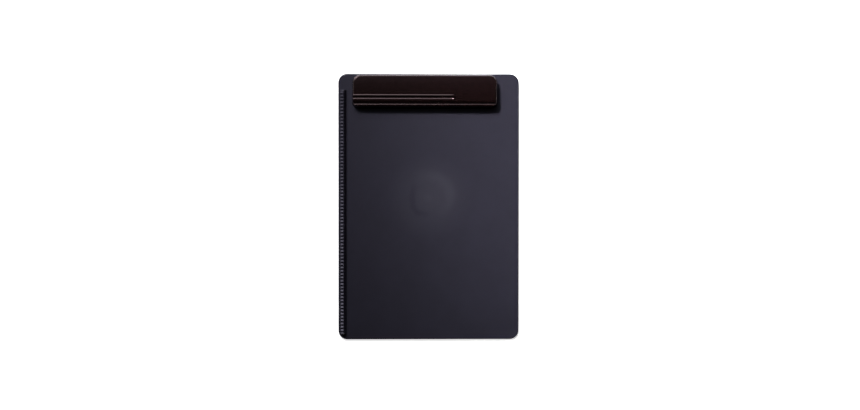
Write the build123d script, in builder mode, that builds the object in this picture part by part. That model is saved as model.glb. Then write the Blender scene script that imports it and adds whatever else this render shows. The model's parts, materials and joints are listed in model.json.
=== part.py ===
"""A moulded A4 clipboard with a ruler rail down its left side and a low, sprung plastic clip.

Frame: millimetres, +Z out of the writing face, +Y towards the clip, origin at the centre of the
board's flat back. Places on the clip are given as a distance down from the board's top edge and a
height above its writing face, because the clip is set out from those two surfaces.
"""

import os
from math import radians, sqrt, tan

from build123d import *

os.makedirs("parts", exist_ok=True)

# Board
BOARD_WIDTH = 232.5
BOARD_LENGTH = 342.0
BOARD_THICKNESS = 3.0
BOARD_CORNER_RADIUS = 11.5
FACE_EDGE_RADIUS = 1.0
BACK_EDGE_RADIUS = 0.6
GATE_Y = 12.0  # the moulding gate, on the back
GATE_DISH_RADIUS = 5.0
GATE_DISH_DEPTH = 0.5
GATE_NUB_RADIUS = 1.4
GATE_NUB_HEIGHT = 0.3

# Ruler rail, moulded with the board: a line gauge of one sixth of an inch
TOOTH_PITCH = 25.4 / 6
TOOTH_COUNT = 74
TOOTH_DEPTH = 1.4
TOOTH_CREST = 0.25
TOOTH_LENGTH = 3.3
RAIL_END_SLOPE = 2.0
RAIL_LEFT = 3.4  # from the board's left edge
RAIL_TOP_WIDTH = 3.9
RAIL_FLANK_WIDTH = 3.3
RAIL_HEIGHT = 7.0
RAIL_FROM_TOP = 21.0
RAIL_EDGE_RADIUS = 0.4
RAIL_FOOT_RADIUS = 0.9

# Clip lever
CLIP_CENTRE_X = -5.0
CLIP_LENGTH = 188.0
CLIP_HEIGHT = 12.0
CLIP_REAR = 2.0  # from the board's top edge
CLIP_TOE = 45.0  # from the board's top edge
END_DRAFT = 11.3  # degrees
TOE_DRAFT = 19.0  # degrees
REAR_CORNER_RADIUS = 11.5
TOE_CORNER_RADIUS = 9.5
TOE_CORNER_SHRINK = 0.4  # of radius for each millimetre of height
TOP_EDGE_RADIUS = 2.0
CROWN_START = 27.0  # from here back, the top falls in a long arc
CROWN_DROP = 1.4
LEVER_WALL = 2.2
SKIRT_HEIGHT = 5.8
TOE_GAP = 0.6
BROW_START = 35.0  # where the top starts to curve down to the toe
VALLEY = 38.9
VALLEY_HEIGHT = 9.9
BEAD = 40.3
BEAD_HEIGHT = 10.5
FOOT_INNER = 38.6
FOOT_HEIGHT = 3.2

# Pen channel along the top of the lever, open at the left end
CHANNEL_CENTRE = 31.2
CHANNEL_WIDTH = 5.6
CHANNEL_DEPTH = 2.2
CHANNEL_END_X = 30.0  # where its round end starts
RIM_CENTRE = 31.6
RIM_WIDTH = 6.8  # over its flat crest
RIM_HEIGHT = 0.5
RIM_SLOPE = 62  # degrees from upright
RIM_ROOT = 0.9  # how deep it is rooted in the top
CHANNEL_WALL = 1.8

# Rubber strip in the toe
STRIP_CENTRE = 41.6
STRIP_WIDTH = 3.0
STRIP_THICKNESS = 1.9
STRIP_LENGTH = 168.0
STRIP_GAP = 0.2  # to the board, for the first sheet

# Hinge
HINGE_FROM_TOP = 21.0
HINGE_HEIGHT = 6.0
STATION_X = 45.0  # each side of the clip's centre
PIN_RADIUS = 1.5
RUNNING_CLEARANCE = 0.05
EAR_RADIUS = 3.4
EAR_THICKNESS = 3.0
EAR_INNER = 8.0  # from the middle of its station
LUG_RADIUS = 3.3
SIDE_CLEARANCE = 0.3
PIN_HEAD_RADIUS = 2.6
PIN_HEAD_THICKNESS = 1.0
RETAINER_RADIUS = 3.1
RETAINER_THICKNESS = 0.6
PIN_TAIL = 0.8

# Clip base
BASE_LENGTH = 172.0
BASE_REAR = 9.0
BASE_FRONT = 30.2
BASE_FLOOR = 1.6
STOP_WALL = 1.6
STOP_HEIGHT = 5.0
REAR_RIB_HEIGHT = 3.0
EAR_FOOT = 10.0

# Torsion springs and their sleeves
WIRE_RADIUS = 0.6
COIL_RADIUS = 3.1
COIL_PITCH = 1.35
COIL_TURNS = 7.5
LEG_LENGTH = 10.5
LEG_PAD = 2.4
SLEEVE_RADIUS = 2.3
SLEEVE_END_GAP = 0.2

# Rivets that hold the base to the board
RIVET_X = (-72.0, -18.0, 18.0, 72.0)  # from the clip's centre
RIVET_FROM_TOP = 19.0
RIVET_RADIUS = 1.5
RIVET_HOLE_RADIUS = 1.6
RIVET_HEAD_RADIUS = 3.0
RIVET_HEAD_HEIGHT = 1.0
RIVET_TAIL_RADIUS = 2.6
RIVET_TAIL_HEIGHT = 0.6
WASHER_RADIUS = 4.0
WASHER_THICKNESS = 0.5
RECESS_RADIUS = 4.5
RECESS_DEPTH = 1.3


def down(distance):
    """Y of a place that far down from the board's top edge."""
    return BOARD_LENGTH / 2 - distance


def above(height):
    """Z of a place that high above the writing face."""
    return BOARD_THICKNESS + height


def at(distance, height):
    """A point of the clip's side view, in the local coordinates of a YZ plane."""
    return (down(distance), above(height))


def side_plane(x):
    """The plane of the clip's side view at that x, counted from the clip's centre."""
    return Plane.YZ.offset(CLIP_CENTRE_X + x)


def save(piece, name):
    piece.part.label = name
    export_step(piece.part, f"parts/{name}.step")


HINGE = at(HINGE_FROM_TOP, HINGE_HEIGHT)
LUG_INNER = EAR_INNER + EAR_THICKNESS + SIDE_CLEARANCE
LUG_OUTER = LUG_INNER + EAR_THICKNESS
STATIONS = {"left": -STATION_X, "right": STATION_X}
RIVET_PLACES = [(CLIP_CENTRE_X + x, down(RIVET_FROM_TOP)) for x in RIVET_X]


# ---------------------------------------------------------------- board
rail_left = -BOARD_WIDTH / 2 + RAIL_LEFT
rail_right = rail_left + RAIL_TOP_WIDTH
rail_length = TOOTH_PITCH * TOOTH_COUNT
rail_middle_y = down(RAIL_FROM_TOP + rail_length / 2)
# Rows of the rail's bottom are sunk this far into the board, so that the two join as one solid.
SINK = 0.5

with BuildPart() as board:
    with BuildSketch():
        RectangleRounded(BOARD_WIDTH, BOARD_LENGTH, BOARD_CORNER_RADIUS)
    extrude(amount=BOARD_THICKNESS)
    fillet(board.faces().sort_by(Axis.Z)[-1].edges(), FACE_EDGE_RADIUS)
    fillet(board.faces().sort_by(Axis.Z)[0].edges(), BACK_EDGE_RADIUS)

    with BuildSketch(Plane.XZ.offset(-down(RAIL_FROM_TOP))) as rail_section:
        with BuildLine():
            Polyline(
                (rail_left, above(-SINK)),
                (rail_left, above(RAIL_HEIGHT)),
                (rail_right, above(RAIL_HEIGHT)),
                (rail_right + RAIL_FLANK_WIDTH, above(0)),
                (rail_right + RAIL_FLANK_WIDTH + RAIL_FOOT_RADIUS, above(0)),
                (rail_right + RAIL_FLANK_WIDTH + RAIL_FOOT_RADIUS, above(-SINK)),
                close=True,
            )
        make_face()
        crest = rail_section.vertices().group_by(Axis.Y)[-1]
        foot = rail_section.vertices().group_by(Axis.Y)[-2].sort_by(Axis.X)[0]
        fillet(crest, RAIL_EDGE_RADIUS)
        fillet(foot, RAIL_FOOT_RADIUS)
    extrude(amount=rail_length)

    # sloped ends of the rail
    rail_top_y, rail_bottom_y = down(RAIL_FROM_TOP), down(RAIL_FROM_TOP + rail_length)
    with BuildSketch(Plane.YZ.offset(rail_left - 1)):
        for end_y, inward in ((rail_top_y, -1), (rail_bottom_y, 1)):
            with BuildLine():
                Polyline(
                    (end_y - inward, above(RAIL_HEIGHT - RAIL_END_SLOPE)),
                    (end_y, above(RAIL_HEIGHT - RAIL_END_SLOPE)),
                    (end_y + inward * RAIL_END_SLOPE, above(RAIL_HEIGHT)),
                    (end_y + inward * RAIL_END_SLOPE, above(RAIL_HEIGHT + 1)),
                    (end_y - inward, above(RAIL_HEIGHT + 1)),
                    close=True,
                )
            make_face()
    extrude(amount=rail_right + RAIL_FLANK_WIDTH - rail_left + 2, mode=Mode.SUBTRACT)

    with BuildSketch(Plane.YZ.offset(rail_left - 1)):
        with Locations((rail_middle_y, above(RAIL_HEIGHT))):
            with GridLocations(TOOTH_PITCH, 1, TOOTH_COUNT, 1):
                half_notch = (TOOTH_PITCH - TOOTH_CREST) / 2
                Polygon(
                    (-half_notch, 0),
                    (0, -TOOTH_DEPTH),
                    (half_notch, 0),
                    align=None,
                )
    extrude(amount=TOOTH_LENGTH + 1, mode=Mode.SUBTRACT)

    back_faced = [Location(Plane(origin=(x, y, 0), z_dir=(0, 0, -1))) for x, y in RIVET_PLACES]
    with Locations(*back_faced):
        CounterBoreHole(RIVET_HOLE_RADIUS, RECESS_RADIUS, RECESS_DEPTH)

    with BuildSketch():
        with Locations((0, GATE_Y)):
            Circle(GATE_DISH_RADIUS)
    extrude(amount=GATE_DISH_DEPTH, mode=Mode.SUBTRACT)
    with BuildSketch(Plane.XY.offset(GATE_DISH_DEPTH)):
        with Locations((0, GATE_Y)):
            Circle(GATE_NUB_RADIUS)
    extrude(amount=-GATE_NUB_HEIGHT)
save(board, "board")


# ---------------------------------------------------------------- clip lever
def brow(start_height):
    """The curve from the flat top down to the valley behind the toe bead, as a line's points."""
    drop = CLIP_HEIGHT - VALLEY_HEIGHT
    run = VALLEY - BROW_START
    radius = (run**2 + drop**2) / (2 * drop)
    middle = BROW_START + run / 2
    sag = radius - sqrt(radius**2 - (run / 2) ** 2)
    return (
        at(BROW_START, start_height),
        at(middle, start_height - sag),
        at(VALLEY, start_height - drop),
    )


def crown_points():
    """The long arc of the top's rear half, from the rear edge to where it becomes level."""
    run = CROWN_START - CLIP_REAR - 0.4
    radius = (run**2 + CROWN_DROP**2) / (2 * CROWN_DROP)
    sag = radius - sqrt(radius**2 - (run / 2) ** 2)
    return (
        at(CLIP_REAR + 0.4, CLIP_HEIGHT - CROWN_DROP),
        at(CROWN_START - run / 2, CLIP_HEIGHT - sag),
        at(CROWN_START, CLIP_HEIGHT),
    )


def clip_envelope(inset):
    """The clip's drafted outline as a block, which narrows towards the top."""
    with BuildPart() as block:
        for height in (0, CLIP_HEIGHT + 1):
            draft = height * tan(radians(END_DRAFT))
            rear = down(CLIP_REAR - 1.4) - draft - inset
            toe = down(CLIP_TOE + 0.2) + height * tan(radians(TOE_DRAFT)) + inset
            toe_radius = TOE_CORNER_RADIUS - TOE_CORNER_SHRINK * height
            with BuildSketch(Plane.XY.offset(above(height))) as outline:
                with Locations((CLIP_CENTRE_X, (rear + toe) / 2)):
                    Rectangle(CLIP_LENGTH - 2 * (draft + inset), rear - toe)
                fillet(outline.vertices().group_by(Axis.Y)[-1], REAR_CORNER_RADIUS - draft - inset)
                fillet(outline.vertices().group_by(Axis.Y)[0], toe_radius - inset)
        loft(ruled=True)
    return block.part


channel_crest = CLIP_HEIGHT + RIM_HEIGHT
channel_radius = ((CHANNEL_WIDTH / 2) ** 2 + CHANNEL_DEPTH**2) / (2 * CHANNEL_DEPTH)
channel_axis = at(CHANNEL_CENTRE, channel_crest - CHANNEL_DEPTH + channel_radius)
clip_left = -CLIP_LENGTH / 2
channel_end = CHANNEL_END_X - CLIP_CENTRE_X


def channel_trough(radius):
    """The round-ended trough of the pen channel, at that radius about its axis."""
    start, end, axis_z = CLIP_CENTRE_X + clip_left - 1, CHANNEL_END_X, channel_axis[1]
    with BuildPart() as trough:
        with BuildSketch(Plane.XZ.offset(-channel_axis[0])):
            with BuildLine():
                Line((start, axis_z), (start, axis_z - radius))
                Line((start, axis_z - radius), (end, axis_z - radius))
                JernArc((end, axis_z - radius), (1, 0), radius, 90)
                Line((end + radius, axis_z), (start, axis_z))
            make_face()
        revolve(axis=Axis((0, *channel_axis), (1, 0, 0)))
    return trough.part


# The hollow under the lever: inside the walls, below the top, clear of the channel's trough.
with BuildPart() as lever_hollow:
    with BuildSketch(side_plane(clip_left)):
        with BuildLine():
            underside = ThreePointArc(*brow(CLIP_HEIGHT - LEVER_WALL))
            Polyline(
                underside @ 1,
                at(40.2, 6.6),
                at(40.6, 4.6),
                at(FOOT_INNER, FOOT_HEIGHT),
                at(FOOT_INNER, -1),
                at(CLIP_REAR + LEVER_WALL, -1),
                at(CLIP_REAR + LEVER_WALL + 0.4, 8.4),
                at(CLIP_REAR + LEVER_WALL + 2.0, CLIP_HEIGHT - LEVER_WALL),
                underside @ 0,
            )
        make_face()
    extrude(amount=CLIP_LENGTH)
    add(clip_envelope(LEVER_WALL), mode=Mode.INTERSECT)
    add(channel_trough(channel_radius + CHANNEL_WALL), mode=Mode.SUBTRACT)

# The raised rim round the pen channel, rooted in the top and run out to the lever's left end.
with BuildPart() as channel_rim:
    rim_half_width = RIM_WIDTH / 2 + (RIM_HEIGHT + RIM_ROOT) * tan(radians(RIM_SLOPE))
    rim_start = CLIP_CENTRE_X + clip_left - 5
    with BuildSketch(Plane.XY.offset(above(CLIP_HEIGHT - RIM_ROOT))):
        with Locations((CHANNEL_END_X, down(RIM_CENTRE))):
            Circle(rim_half_width)
        with Locations(((rim_start + CHANNEL_END_X) / 2, down(RIM_CENTRE))):
            Rectangle(CHANNEL_END_X - rim_start, 2 * rim_half_width)
    extrude(amount=RIM_ROOT + RIM_HEIGHT, taper=RIM_SLOPE)
    add(clip_envelope(0.2), mode=Mode.INTERSECT)

with BuildPart() as clip_lever:
    with BuildSketch(side_plane(clip_left)):
        with BuildLine():
            top_curve = ThreePointArc(*brow(CLIP_HEIGHT))
            bead = ThreePointArc(
                top_curve @ 1,
                at(BEAD, BEAD_HEIGHT),
                at(BEAD + 1.6, VALLEY_HEIGHT),
            )
            crown = ThreePointArc(*crown_points())
            Polyline(
                bead @ 1,
                at(CLIP_TOE + 1, TOE_GAP),
                at(FOOT_INNER - 1.2, TOE_GAP),
                at(FOOT_INNER - 2.4, SKIRT_HEIGHT),
                at(CLIP_REAR, SKIRT_HEIGHT + 0.4),
                crown @ 0,
            )
            Line(crown @ 1, top_curve @ 0)
        make_face()
    extrude(amount=CLIP_LENGTH)
    add(clip_envelope(0), mode=Mode.INTERSECT)
    outer_walls = clip_lever.faces().filter_by(
        lambda face: abs(face.center().X - CLIP_CENTRE_X) > 0.48 * CLIP_LENGTH
        or face.center().Y > down(CLIP_REAR + 1.5)
    )
    top_rim = outer_walls.edges().filter_by(
        lambda edge: edge.center().Z > above(VALLEY_HEIGHT - 0.3) and edge.center().Y > down(BEAD)
    )
    fillet(top_rim, TOP_EDGE_RADIUS)

    add(channel_rim.part)
    add(lever_hollow.part, mode=Mode.SUBTRACT)
    add(channel_trough(channel_radius), mode=Mode.SUBTRACT)

    # lugs that ride on the hinge pins, two to each station
    for station in STATIONS.values():
        for lug_start in (station - LUG_OUTER, station + LUG_INNER):
            with BuildSketch(side_plane(lug_start)):
                with Locations(HINGE):
                    Circle(LUG_RADIUS)
                lug_top = CLIP_HEIGHT - LEVER_WALL + 0.3
                with Locations(at(HINGE_FROM_TOP, (HINGE_HEIGHT + lug_top) / 2)):
                    Rectangle(2 * LUG_RADIUS, lug_top - HINGE_HEIGHT)
            extrude(amount=EAR_THICKNESS)
            with BuildSketch(side_plane(lug_start - 0.1)):
                with Locations(HINGE):
                    Circle(PIN_RADIUS + RUNNING_CLEARANCE)
            extrude(amount=EAR_THICKNESS + 0.2, mode=Mode.SUBTRACT)

    # stiffening ribs under the top, clear of the hinge stations
    for rib_x in (-84.0, -63.0, -9.0, 9.0, 63.0, 84.0):
        with BuildSketch(side_plane(rib_x - 0.75)):
            with BuildLine():
                Polyline(
                    at(CLIP_REAR + 1.9, CLIP_HEIGHT - LEVER_WALL + 0.3),
                    at(CLIP_REAR + 1.9, 7.4),
                    at(CHANNEL_CENTRE - 5, 7.4),
                    at(CHANNEL_CENTRE - 3, CLIP_HEIGHT - LEVER_WALL + 0.3),
                    close=True,
                )
            make_face()
        extrude(amount=1.5)

    # seat for the rubber strip, in the sole of the toe
    with BuildSketch(Plane.XY.offset(above(TOE_GAP - 0.1))):
        with Locations((CLIP_CENTRE_X, down(STRIP_CENTRE))):
            Rectangle(STRIP_LENGTH, STRIP_WIDTH)
    extrude(amount=STRIP_THICKNESS + STRIP_GAP - TOE_GAP + 0.1, mode=Mode.SUBTRACT)
save(clip_lever, "clip_lever")

with BuildPart() as jaw_grip_strip:
    with BuildSketch(Plane.XY.offset(above(STRIP_GAP))):
        with Locations((CLIP_CENTRE_X, down(STRIP_CENTRE))):
            Rectangle(STRIP_LENGTH, STRIP_WIDTH)
    extrude(amount=STRIP_THICKNESS)
    sole = jaw_grip_strip.faces().sort_by(Axis.Z)[0]
    fillet(sole.edges().filter_by(Axis.X), 0.35)
save(jaw_grip_strip, "jaw_grip_strip")


# ---------------------------------------------------------------- clip base
with BuildPart() as clip_base:
    with BuildSketch(Plane.XY.offset(above(0))) as base_plan:
        with Locations((CLIP_CENTRE_X, (down(BASE_REAR) + down(BASE_FRONT)) / 2)):
            Rectangle(BASE_LENGTH, BASE_FRONT - BASE_REAR)
        fillet(base_plan.vertices(), 2)
    extrude(amount=BASE_FLOOR)

    # the wall that stops the paper, and a low rib along the rear edge
    for wall_from, wall_to, wall_height in (
        (BASE_FRONT - STOP_WALL, BASE_FRONT, STOP_HEIGHT),
        (BASE_REAR, BASE_REAR + 1.2, REAR_RIB_HEIGHT),
    ):
        with BuildSketch(Plane.XY.offset(above(0))):
            with Locations((CLIP_CENTRE_X, (down(wall_from) + down(wall_to)) / 2)):
                Rectangle(BASE_LENGTH - 4, wall_to - wall_from)
        extrude(amount=wall_height)

    # ears that hold the hinge pins, two to each station
    for station in STATIONS.values():
        for ear_start in (station - EAR_INNER - EAR_THICKNESS, station + EAR_INNER):
            with BuildSketch(side_plane(ear_start)):
                with Locations(HINGE):
                    Circle(EAR_RADIUS)
                slope = EAR_RADIUS * 0.9
                with BuildLine():
                    Polyline(
                        at(HINGE_FROM_TOP - EAR_FOOT / 2, 0.5),
                        at(HINGE_FROM_TOP - slope, HINGE_HEIGHT + 1),
                        at(HINGE_FROM_TOP + slope, HINGE_HEIGHT + 1),
                        at(HINGE_FROM_TOP + EAR_FOOT / 2, 0.5),
                        close=True,
                    )
                make_face()
                with Locations(HINGE):
                    Circle(PIN_RADIUS, mode=Mode.SUBTRACT)
            extrude(amount=EAR_THICKNESS)
        # pad under the still leg of the spring
        with BuildSketch(Plane.XY.offset(above(BASE_FLOOR - 0.2))):
            leg_x = CLIP_CENTRE_X + station + COIL_PITCH * COIL_TURNS / 2
            with Locations((leg_x, down(HINGE_FROM_TOP - LEG_LENGTH + LEG_PAD / 2))):
                Rectangle(2 * LEG_PAD, LEG_PAD)
        extrude(amount=HINGE_HEIGHT - COIL_RADIUS - WIRE_RADIUS - 0.05 - BASE_FLOOR + 0.2)

    with BuildSketch(Plane.XY.offset(above(-0.1))):
        with Locations(*RIVET_PLACES):
            Circle(RIVET_HOLE_RADIUS)
    extrude(amount=BASE_FLOOR + 0.2, mode=Mode.SUBTRACT)
save(clip_base, "clip_base")


# ---------------------------------------------------------------- hinge pins, retainers, sleeves
def ring(start, length, outer, inner):
    """A ring on the hinge axis, from start along X, counted from the clip's centre."""
    with BuildPart() as made:
        with BuildSketch(side_plane(start)):
            with Locations(HINGE):
                Circle(outer)
                Circle(inner, mode=Mode.SUBTRACT)
        extrude(amount=length)
    return made


pin_reach = LUG_OUTER + SIDE_CLEARANCE
for side, station in STATIONS.items():
    # each pin has its head towards the nearer end of the clip
    outward = 1 if station > 0 else -1
    head_face = station + outward * pin_reach
    tail_end = station - outward * (pin_reach + RETAINER_THICKNESS + PIN_TAIL)

    with BuildPart() as hinge_pin:
        with BuildSketch(side_plane(tail_end)):
            with Locations(HINGE):
                Circle(PIN_RADIUS)
        extrude(amount=head_face - tail_end)
        with BuildSketch(side_plane(head_face)):
            with Locations(HINGE):
                Circle(PIN_HEAD_RADIUS)
        extrude(amount=outward * PIN_HEAD_THICKNESS)
        ends = hinge_pin.faces().sort_by(Axis.X)
        chamfer(ends[0].edges(), 0.3)
        chamfer(ends[-1].edges(), 0.3)
    save(hinge_pin, f"hinge_pin_{side}")

    near, far = sorted((-outward * pin_reach, -outward * (pin_reach + RETAINER_THICKNESS)))
    save(ring(station + near, far - near, RETAINER_RADIUS, PIN_RADIUS), f"pin_retainer_{side}")

    sleeve_half = EAR_INNER - SLEEVE_END_GAP
    sleeve = ring(station - sleeve_half, 2 * sleeve_half, SLEEVE_RADIUS, PIN_RADIUS + RUNNING_CLEARANCE)
    save(sleeve, f"spring_sleeve_{side}")


# ---------------------------------------------------------------- torsion springs
def torsion_spring(station):
    """A close-wound torsion spring whose two legs point to the rear, one low and one high."""
    coil_length = COIL_PITCH * COIL_TURNS
    start = (CLIP_CENTRE_X + station - coil_length / 2, *HINGE)
    with BuildPart() as spring:
        with BuildLine() as wire:
            coil = Helix(
                pitch=COIL_PITCH,
                height=coil_length,
                radius=COIL_RADIUS,
                center=start,
                direction=(1, 0, 0),
            )
            Line(coil @ 0, coil @ 0 - (coil % 0) * LEG_LENGTH)
            Line(coil @ 1, coil @ 1 + (coil % 1) * LEG_LENGTH)
        with BuildSketch(Plane(origin=wire.wire() @ 0, z_dir=wire.wire() % 0)):
            Circle(WIRE_RADIUS)
        sweep(path=wire.wire())
    return spring


for side, station in STATIONS.items():
    spring = torsion_spring(station)
    save(spring, f"torsion_spring_{side}")


# ---------------------------------------------------------------- rivets and washers
for number, (rivet_x, rivet_y) in enumerate(RIVET_PLACES, start=1):
    washer_bottom = RECESS_DEPTH - WASHER_THICKNESS
    shank_top = above(BASE_FLOOR)
    with BuildPart() as rivet:
        with BuildSketch(Plane.XY.offset(washer_bottom - RIVET_TAIL_HEIGHT)):
            with Locations((rivet_x, rivet_y)):
                Circle(RIVET_TAIL_RADIUS)
        extrude(amount=RIVET_TAIL_HEIGHT)
        with BuildSketch(Plane.XY.offset(washer_bottom)):
            with Locations((rivet_x, rivet_y)):
                Circle(RIVET_RADIUS)
        extrude(amount=shank_top - washer_bottom)
        with BuildSketch(Plane.XY.offset(shank_top)):
            with Locations((rivet_x, rivet_y)):
                Circle(RIVET_HEAD_RADIUS)
        extrude(amount=RIVET_HEAD_HEIGHT)
        fillet(rivet.faces().sort_by(Axis.Z)[-1].edges(), 0.8 * RIVET_HEAD_HEIGHT)
        fillet(rivet.faces().sort_by(Axis.Z)[0].edges(), 0.6 * RIVET_TAIL_HEIGHT)
    save(rivet, f"base_rivet_{number}")

    with BuildPart() as washer:
        with BuildSketch(Plane.XY.offset(washer_bottom)):
            with Locations((rivet_x, rivet_y)):
                Circle(WASHER_RADIUS)
                Circle(RIVET_RADIUS, mode=Mode.SUBTRACT)
        extrude(amount=WASHER_THICKNESS)
    save(washer, f"rivet_washer_{number}")
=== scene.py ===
"""The looks of the A4 clipboard: materials, two springs rebuilt as smooth wire, floor, light and
camera.

Metres, in the CAD's row frame: +Z out of the writing face, +Y towards the clip.
"""

import json
from math import cos, pi, radians, sin, tan

import bpy
from mathutils import Matrix, Vector

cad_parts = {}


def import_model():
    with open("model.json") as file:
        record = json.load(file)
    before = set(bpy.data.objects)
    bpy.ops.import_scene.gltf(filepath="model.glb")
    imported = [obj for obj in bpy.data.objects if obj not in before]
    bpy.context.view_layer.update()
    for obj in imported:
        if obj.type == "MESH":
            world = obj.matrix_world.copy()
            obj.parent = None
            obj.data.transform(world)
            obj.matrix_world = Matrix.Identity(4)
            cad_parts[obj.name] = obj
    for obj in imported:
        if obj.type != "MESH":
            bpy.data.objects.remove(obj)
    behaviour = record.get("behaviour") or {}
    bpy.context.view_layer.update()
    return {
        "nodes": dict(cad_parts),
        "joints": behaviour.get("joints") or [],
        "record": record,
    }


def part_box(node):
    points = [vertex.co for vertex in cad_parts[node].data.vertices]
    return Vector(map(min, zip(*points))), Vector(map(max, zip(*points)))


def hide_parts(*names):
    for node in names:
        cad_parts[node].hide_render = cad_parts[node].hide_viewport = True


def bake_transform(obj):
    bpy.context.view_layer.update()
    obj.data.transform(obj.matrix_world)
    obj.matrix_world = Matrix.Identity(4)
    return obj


MM = 0.001

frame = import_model()

hinge = Vector(frame["joints"][0]["pos_m"])
board_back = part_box("board")[0].z

FACE = 3.0 * MM  # height of the writing face
GATE = Vector((0, 12 * MM, 0))  # where the melt entered the mould

WIRE_RADIUS = 0.6 * MM
WIRE_SIDES = 16
SPRING_TURNS = 7.5
STEPS_PER_TURN = 36
LEG_STEPS = 12


# ---------------------------------------------------------------- node helpers
class Shader:
    """A new node material, with short calls for its nodes and links."""

    def __init__(self, name):
        self.material = bpy.data.materials.new(name)
        self.material.use_nodes = True
        self.nodes = self.material.node_tree.nodes
        self.links = self.material.node_tree.links
        self.surface = self.nodes["Principled BSDF"]
        self.coordinates = self.nodes.new("ShaderNodeTexCoord").outputs["Object"]

    def link(self, source, target):
        self.links.new(source, target)

    def put(self, value, socket):
        if isinstance(value, bpy.types.NodeSocket):
            self.link(value, socket)
        else:
            socket.default_value = value

    def stretched(self, scale):
        """The object's coordinates in metres, multiplied by scale along each axis."""
        node = self.nodes.new("ShaderNodeMapping")
        node.inputs["Scale"].default_value = scale
        self.link(self.coordinates, node.inputs["Vector"])
        return node.outputs["Vector"]

    def noise(self, size, detail=2.0, roughness=0.5, vector=None):
        """Noise of about that size in metres, from 0 to 1."""
        node = self.nodes.new("ShaderNodeTexNoise")
        node.inputs["Scale"].default_value = 1 / size
        node.inputs["Detail"].default_value = detail
        node.inputs["Roughness"].default_value = roughness
        self.link(vector or self.coordinates, node.inputs["Vector"])
        return node.outputs["Fac"]

    def cells(self, size):
        """Distance to the nearest of scattered points about that far apart."""
        node = self.nodes.new("ShaderNodeTexVoronoi")
        node.inputs["Scale"].default_value = 1 / size
        self.link(self.coordinates, node.inputs["Vector"])
        return node.outputs["Distance"]

    def ranged(self, value, low, high, new_low, new_high, smooth=False):
        """The value carried from one range to another, clamped to the new one."""
        node = self.nodes.new("ShaderNodeMapRange")
        node.interpolation_type = "SMOOTHSTEP" if smooth else "LINEAR"
        for socket, number in zip(node.inputs[1:5], (low, high, new_low, new_high)):
            socket.default_value = number
        self.link(value, node.inputs["Value"])
        return node.outputs["Result"]

    def math(self, operation, first, second=0.0):
        """The operation on two values, each a number or another node's output."""
        node = self.nodes.new("ShaderNodeMath")
        node.operation = operation
        self.put(first, node.inputs[0])
        self.put(second, node.inputs[1])
        return node.outputs["Value"]

    def mixed(self, amount, first, second):
        """Two colours, mixed."""
        node = self.nodes.new("ShaderNodeMix")
        node.data_type = "RGBA"
        self.put(amount, node.inputs["Factor"])
        first_colour, second_colour, result = 6, 7, 2  # the colour sockets of a node with many kinds
        self.put(first, node.inputs[first_colour])
        self.put(second, node.inputs[second_colour])
        return node.outputs[result]

    def distance(self, point, scale=(1, 1, 1)):
        """Distance from a point, in metres, along the axes that scale keeps."""
        node = self.nodes.new("ShaderNodeVectorMath")
        node.operation = "DISTANCE"
        self.link(self.stretched(scale), node.inputs[0])
        node.inputs[1].default_value = [a * b for a, b in zip(point, scale)]
        return node.outputs["Value"]

    def direction(self, point):
        """Unit vector from a point, in the plane of the face."""
        offset = self.nodes.new("ShaderNodeVectorMath")
        offset.operation = "SUBTRACT"
        self.link(self.stretched((1, 1, 0)), offset.inputs[0])
        offset.inputs[1].default_value = (point[0], point[1], 0)
        unit = self.nodes.new("ShaderNodeVectorMath")
        unit.operation = "NORMALIZE"
        self.link(offset.outputs["Vector"], unit.inputs[0])
        return unit.outputs["Vector"]

    def dot(self, vector, axis):
        """How far the vector points along the axis, from -1 to 1."""
        node = self.nodes.new("ShaderNodeVectorMath")
        node.operation = "DOT_PRODUCT"
        self.link(vector, node.inputs[0])
        node.inputs[1].default_value = axis
        return node.outputs["Value"]

    def ring(self, radius, middle, width):
        """1 where radius is middle, falling off smoothly to 0 one width from it."""
        away = self.math("ABSOLUTE", self.math("SUBTRACT", radius, middle))
        return self.ranged(away, 0, width, 1, 0, smooth=True)

    def bump(self, height, strength, depth):
        """Surface relief of about that depth in metres."""
        node = self.nodes.new("ShaderNodeBump")
        node.inputs["Strength"].default_value = strength
        node.inputs["Distance"].default_value = depth
        self.link(height, node.inputs["Height"])
        self.link(node.outputs["Normal"], self.surface.inputs["Normal"])


def grey(value):
    return (value, value, value, 1)


# ---------------------------------------------------------------- materials
def moulded_plastic(name, dark, light, roughness, drift, grain, mottle, relief):
    """Satin moulded plastic: a fine spark-eroded grain over a slow, mottled change of tone."""
    shader = Shader(name)
    slow = shader.noise(mottle, detail=3, roughness=0.6)
    fine = shader.noise(grain, detail=2, roughness=0.7)
    speck = shader.cells(1.6 * grain)
    tone = shader.math("ADD", shader.math("MULTIPLY", slow, 0.7), shader.math("MULTIPLY", fine, 0.3))
    colour = shader.mixed(shader.ranged(tone, 0.36, 0.64, 0, 1), dark, light)
    shader.put(colour, shader.surface.inputs["Base Color"])
    shader.put(
        shader.ranged(tone, 0.3, 0.7, roughness + drift, roughness - drift),
        shader.surface.inputs["Roughness"],
    )
    height = shader.math("ADD", fine, shader.math("MULTIPLY", speck, 0.6))
    shader.bump(height, relief, 0.03 * MM)
    return shader


def sheen(shader, tint, level):
    """How much of the light a plastic's surface throws back, and in what colour."""
    shader.surface.inputs["Specular Tint"].default_value = tint
    shader.surface.inputs["Specular IOR Level"].default_value = level


def board_plastic():
    """The board's violet-grey plastic, with the gate's blush in the writing face, whose sheen is
    painted into its colour.
    """
    shader = moulded_plastic(
        "board plastic",
        dark=(0.0125, 0.0117, 0.0180, 1),
        light=(0.0158, 0.0148, 0.0228, 1),
        roughness=0.36,
        drift=0.03,
        grain=0.45 * MM,
        mottle=45 * MM,
        relief=0.25,
    )
    sheen(shader, (0.82, 0.78, 1.0, 1), 0.42)
    gate_blush_and_painted_sheen(shader)
    return shader.material


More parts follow.
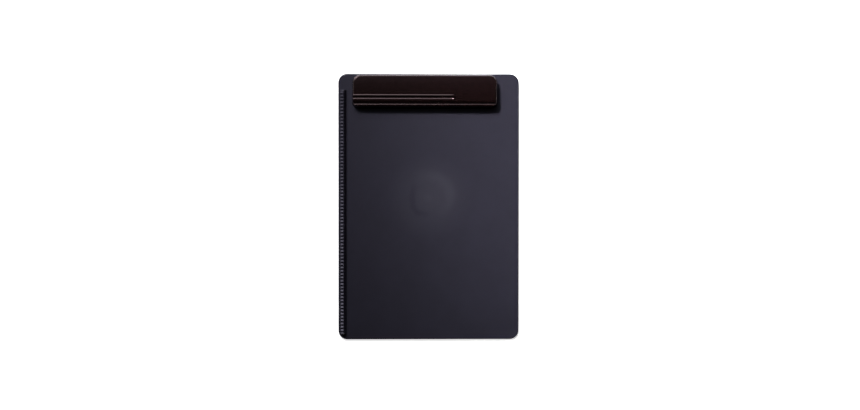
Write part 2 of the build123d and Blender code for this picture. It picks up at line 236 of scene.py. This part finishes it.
def gate_blush_and_painted_sheen(shader):
    """Round the gate the flow of the melt leaves a blush of changed gloss; its sheen is painted into
    the base colour as a pale halo with a dark crescent on its left.
    """
    drift = shader.noise(22 * MM, detail=2)
    wander = 12 * MM  # the rings aren't quite round
    shift = shader.math("MULTIPLY", drift, wander)
    radius = shader.math("ADD", shader.distance(GATE, (1, 1, 0)), shift)
    radius = shader.math("SUBTRACT", radius, wander / 2)
    side = shader.direction(GATE)
    lower_left, upper_right = (-0.91, -0.42, 0), (0.82, 0.57, 0)
    left = shader.ranged(shader.dot(side, lower_left), 0.25, 0.85, 0, 1)
    right = shader.ranged(shader.dot(side, upper_right), -0.2, 0.8, 0, 1)
    halo = shader.ranged(radius, 12 * MM, 56 * MM, 0.55, 0)
    pale = shader.math("MULTIPLY", shader.ring(radius, 28 * MM, 12 * MM), right)
    dark = shader.math("MULTIPLY", shader.ring(radius, 22.5 * MM, 6 * MM), left)
    heart = shader.ring(radius, 0, 9 * MM)
    # painted sheen: the halo, the pale ring and the heart lighten the colour, the dark crescent takes
    # some away
    painted_sheen = shader.math("ADD", halo, shader.math("MULTIPLY", pale, 0.45))
    painted_sheen = shader.math("ADD", painted_sheen, shader.math("MULTIPLY", heart, 0.25))
    painted_sheen = shader.math("SUBTRACT", painted_sheen, shader.math("MULTIPLY", dark, 0.5))
    base = shader.surface.inputs["Base Color"]
    plain = base.links[0].from_socket
    # the painted sheen mixes the base colour towards this paler violet-grey
    shader.put(shader.mixed(painted_sheen, plain, (0.0270, 0.0257, 0.0350, 1)), base)


def clip_plastic():
    """The lever's and the base's near-black plastic, a little redder and glossier than the board's."""
    shader = moulded_plastic(
        "clip plastic",
        dark=(0.0022, 0.0005, 0.0005, 1),
        light=(0.0028, 0.0008, 0.0008, 1),
        roughness=0.24,
        drift=0.012,
        grain=0.6 * MM,
        mottle=14 * MM,
        relief=0.025,
    )
    sheen(shader, (1.0, 0.74, 0.79, 1), 0.42)
    return shader.material


def metal(name, dark, light, roughness, streak, relief):
    """Bare or plated metal, with streaks along X as drawing or rolling leaves them."""
    shader = Shader(name)
    along = shader.stretched((0.08, 1, 1))
    streaks = shader.noise(streak, detail=4, roughness=0.65, vector=along)
    cloud = shader.noise(4 * MM, detail=2)
    colour = shader.mixed(shader.ranged(streaks, 0.3, 0.7, 0, 1), dark, light)
    shader.put(colour, shader.surface.inputs["Base Color"])
    shader.surface.inputs["Metallic"].default_value = 1.0
    shader.put(
        shader.ranged(cloud, 0.3, 0.7, roughness - 0.07, roughness + 0.07),
        shader.surface.inputs["Roughness"],
    )
    shader.bump(streaks, relief, 0.02 * MM)
    return shader.material


def grip_rubber():
    """Matt black rubber with a little dust on it."""
    shader = Shader("grip rubber")
    clean, dusty = (0.013, 0.013, 0.013, 1), (0.024, 0.023, 0.022, 1)
    fine = shader.noise(0.35 * MM, detail=3, roughness=0.7)
    dust = shader.noise(6 * MM, detail=3)
    colour = shader.mixed(shader.ranged(dust, 0.4, 0.7, 0, 1), clean, dusty)
    shader.put(colour, shader.surface.inputs["Base Color"])
    shader.put(shader.ranged(fine, 0.3, 0.7, 0.68, 0.82), shader.surface.inputs["Roughness"])
    shader.bump(fine, 0.5, 0.04 * MM)
    return shader.material


def sleeve_plastic():
    """Natural acetal: milky, with the fine rings of its turning."""
    shader = Shader("sleeve plastic")
    deep, milky = (0.74, 0.71, 0.63, 1), (0.82, 0.8, 0.73, 1)
    cloud = shader.noise(3 * MM, detail=3)
    turned = shader.noise(0.3 * MM, detail=2, vector=shader.stretched((1, 0.1, 0.1)))
    colour = shader.mixed(shader.ranged(cloud, 0.35, 0.65, 0, 1), deep, milky)
    shader.put(colour, shader.surface.inputs["Base Color"])
    shader.put(shader.ranged(turned, 0.3, 0.7, 0.32, 0.42), shader.surface.inputs["Roughness"])
    shader.bump(turned, 0.2, 0.02 * MM)
    return shader.material


MATERIALS = {
    "board_plastic": board_plastic(),
    "clip_plastic": clip_plastic(),
    "grip_rubber": grip_rubber(),
    "plated_steel": metal(
        "plated steel", (0.52, 0.51, 0.5, 1), (0.68, 0.67, 0.65, 1), 0.3, 0.25 * MM, 0.15
    ),
    "spring_steel": metal(
        "spring steel", (0.3, 0.3, 0.32, 1), (0.46, 0.46, 0.48, 1), 0.34, 0.18 * MM, 0.25
    ),
    "sleeve_plastic": sleeve_plastic(),
}
SLOTS = {row["node"]: row["material_slot"] for row in frame["record"]["subparts"]}


def dress(piece, slot):
    """Gives the piece the material of that slot, and nothing else."""
    piece.data.materials.clear()
    piece.data.materials.append(MATERIALS[slot])


for name, node in frame["nodes"].items():
    dress(node, SLOTS[name])


# ---------------------------------------------------------------- mesh helpers
def new_piece(name, slot, vertices, faces, smooth_angle):
    """A smooth-shaded mesh object, with an edge kept sharp where it turns more than smooth_angle."""
    mesh = bpy.data.meshes.new(name)
    mesh.from_pydata(vertices, [], faces)
    mesh.validate()
    for polygon in mesh.polygons:
        polygon.use_smooth = True
    mesh.set_sharp_from_angle(angle=radians(smooth_angle))
    piece = bpy.data.objects.new(name, mesh)
    bpy.context.scene.collection.objects.link(piece)
    dress(piece, slot)
    return piece


def tube(path, radius, sides):
    """Vertices and faces of a round tube with closed ends that follows the points of path."""
    vertices, faces = [], []
    tangents = [
        (path[min(i + 1, len(path) - 1)] - path[max(i - 1, 0)]).normalized()
        for i in range(len(path))
    ]
    normal = tangents[0].orthogonal().normalized()
    for point, tangent in zip(path, tangents):
        normal = (normal - tangent * normal.dot(tangent)).normalized()
        side = tangent.cross(normal)
        for k in range(sides):
            angle = 2 * pi * k / sides
            vertices.append(point + (normal * cos(angle) + side * sin(angle)) * radius)
    for i in range(len(path) - 1):
        for k in range(sides):
            a, b = i * sides + k, i * sides + (k + 1) % sides
            faces.append((a, b, b + sides, a + sides))
    faces.append(tuple(reversed(range(sides))))
    faces.append(tuple(range(len(vertices) - sides, len(vertices))))
    return vertices, faces


# ---------------------------------------------------------------- torsion springs
def torsion_spring(node):
    """The spring's wire again as one smooth tube, shown in place of the part's own mesh."""
    low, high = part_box(node)
    coil_radius = (high.z - low.z) / 2 - WIRE_RADIUS
    start = Vector((low.x + WIRE_RADIUS, hinge.y, hinge.z))
    length = high.x - low.x - 2 * WIRE_RADIUS
    leg = high.y - hinge.y
    coil_steps = SPRING_TURNS * STEPS_PER_TURN
    path = [start + Vector((0, leg * (1 - k / LEG_STEPS), coil_radius)) for k in range(LEG_STEPS)]
    for k in range(int(coil_steps) + 1):
        angle = 2 * pi * k / STEPS_PER_TURN
        along = length * k / coil_steps
        path.append(start + Vector((along, -coil_radius * sin(angle), coil_radius * cos(angle))))
    end = path[-1]
    path += [end + Vector((0, leg * k / LEG_STEPS, 0)) for k in range(1, LEG_STEPS + 1)]
    vertices, faces = tube(path, WIRE_RADIUS, WIRE_SIDES)
    spring = new_piece(node + "_coil", "spring_steel", vertices, faces, smooth_angle=60)
    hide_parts(node)
    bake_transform(spring)


for side in ("left", "right"):
    torsion_spring(f"torsion_spring_{side}")


# ---------------------------------------------------------------- studio
def area_light(name, place, target, size, power, spread=180):
    """A soft lamp at place, facing target; a small spread in degrees gives it a gridded beam."""
    data = bpy.data.lights.new(name, "AREA")
    data.shape = "RECTANGLE"
    data.size, data.size_y = size
    data.energy = power
    data.spread = radians(spread)
    light = bpy.data.objects.new(name, data)
    light.location = place
    light.rotation_mode = "QUATERNION"
    back = (Vector(place) - Vector(target)).normalized()
    up = (Vector((0, 1, 0)) - back * back.y).normalized()
    right = up.cross(back)
    light.rotation_quaternion = Matrix((right, up, back)).transposed().to_quaternion()
    bpy.context.scene.collection.objects.link(light)


def floor():
    """A pale table top just under the board's back, lit from within so that it stays white."""
    half = 4.0
    gap = 0.2 * MM
    z = board_back - gap
    corners = [(-half, -half, z), (half, -half, z), (half, half, z), (-half, half, z)]
    mesh = bpy.data.meshes.new("floor")
    mesh.from_pydata(corners, [], [(0, 1, 2, 3)])
    plane = bpy.data.objects.new("floor", mesh)
    bpy.context.scene.collection.objects.link(plane)
    shader = Shader("floor")
    cloud = shader.noise(0.4, detail=2)
    colour = shader.mixed(cloud, grey(0.90), grey(0.92))
    shader.put(colour, shader.surface.inputs["Base Color"])
    shader.surface.inputs["Roughness"].default_value = 0.8
    shader.surface.inputs["Emission Color"].default_value = grey(1)
    shader.surface.inputs["Emission Strength"].default_value = 0.75
    mesh.materials.append(shader.material)


def camera():
    """Straight above the writing face, a degree towards the top-left corner."""
    view_width = 1.108  # what the picture takes in at the writing face
    distance = 1.5
    lean_left, lean_back = radians(1.1), radians(1.0)
    target = Vector((1.7 * MM, 2.4 * MM, FACE))
    towards = Vector((-tan(lean_left), tan(lean_back), 1)).normalized()
    data = bpy.data.cameras.new("camera")
    data.sensor_width = 36
    data.lens = data.sensor_width * distance / view_width
    data.clip_start, data.clip_end = 0.05, 20
    cam = bpy.data.objects.new("camera", data)
    cam.location = target + towards * distance
    right = Vector((1, 0, 0))
    up = towards.cross(right).normalized()
    right = up.cross(towards)
    cam.rotation_mode = "QUATERNION"
    cam.rotation_quaternion = Matrix((right, up, towards)).transposed().to_quaternion()
    bpy.context.scene.collection.objects.link(cam)
    bpy.context.scene.camera = cam


def world():
    """A faint, even light from all round."""
    made = bpy.data.worlds.new("studio")
    made.use_nodes = True
    background = made.node_tree.nodes["Background"]
    background.inputs["Color"].default_value = grey(1)
    background.inputs["Strength"].default_value = 0.03
    bpy.context.scene.world = made


world()
floor()
upper_board = (0, 0.05, 0)
right_of_board = (0.48, 0.22, 0)  # so that only the edge of its beam crosses the board
area_light("key", (-0.92, 1.59, 1.59), upper_board, (0.85, 0.85), 37)
area_light("gridded key", (-0.44, 1.76, 1.59), right_of_board, (0.85, 0.85), 6.4, spread=9.5)
area_light("rear light", (-0.3, 2.1, 1.5), upper_board, (1.6, 1.4), 30)
camera()
bpy.context.scene.view_settings.view_transform = "Standard"
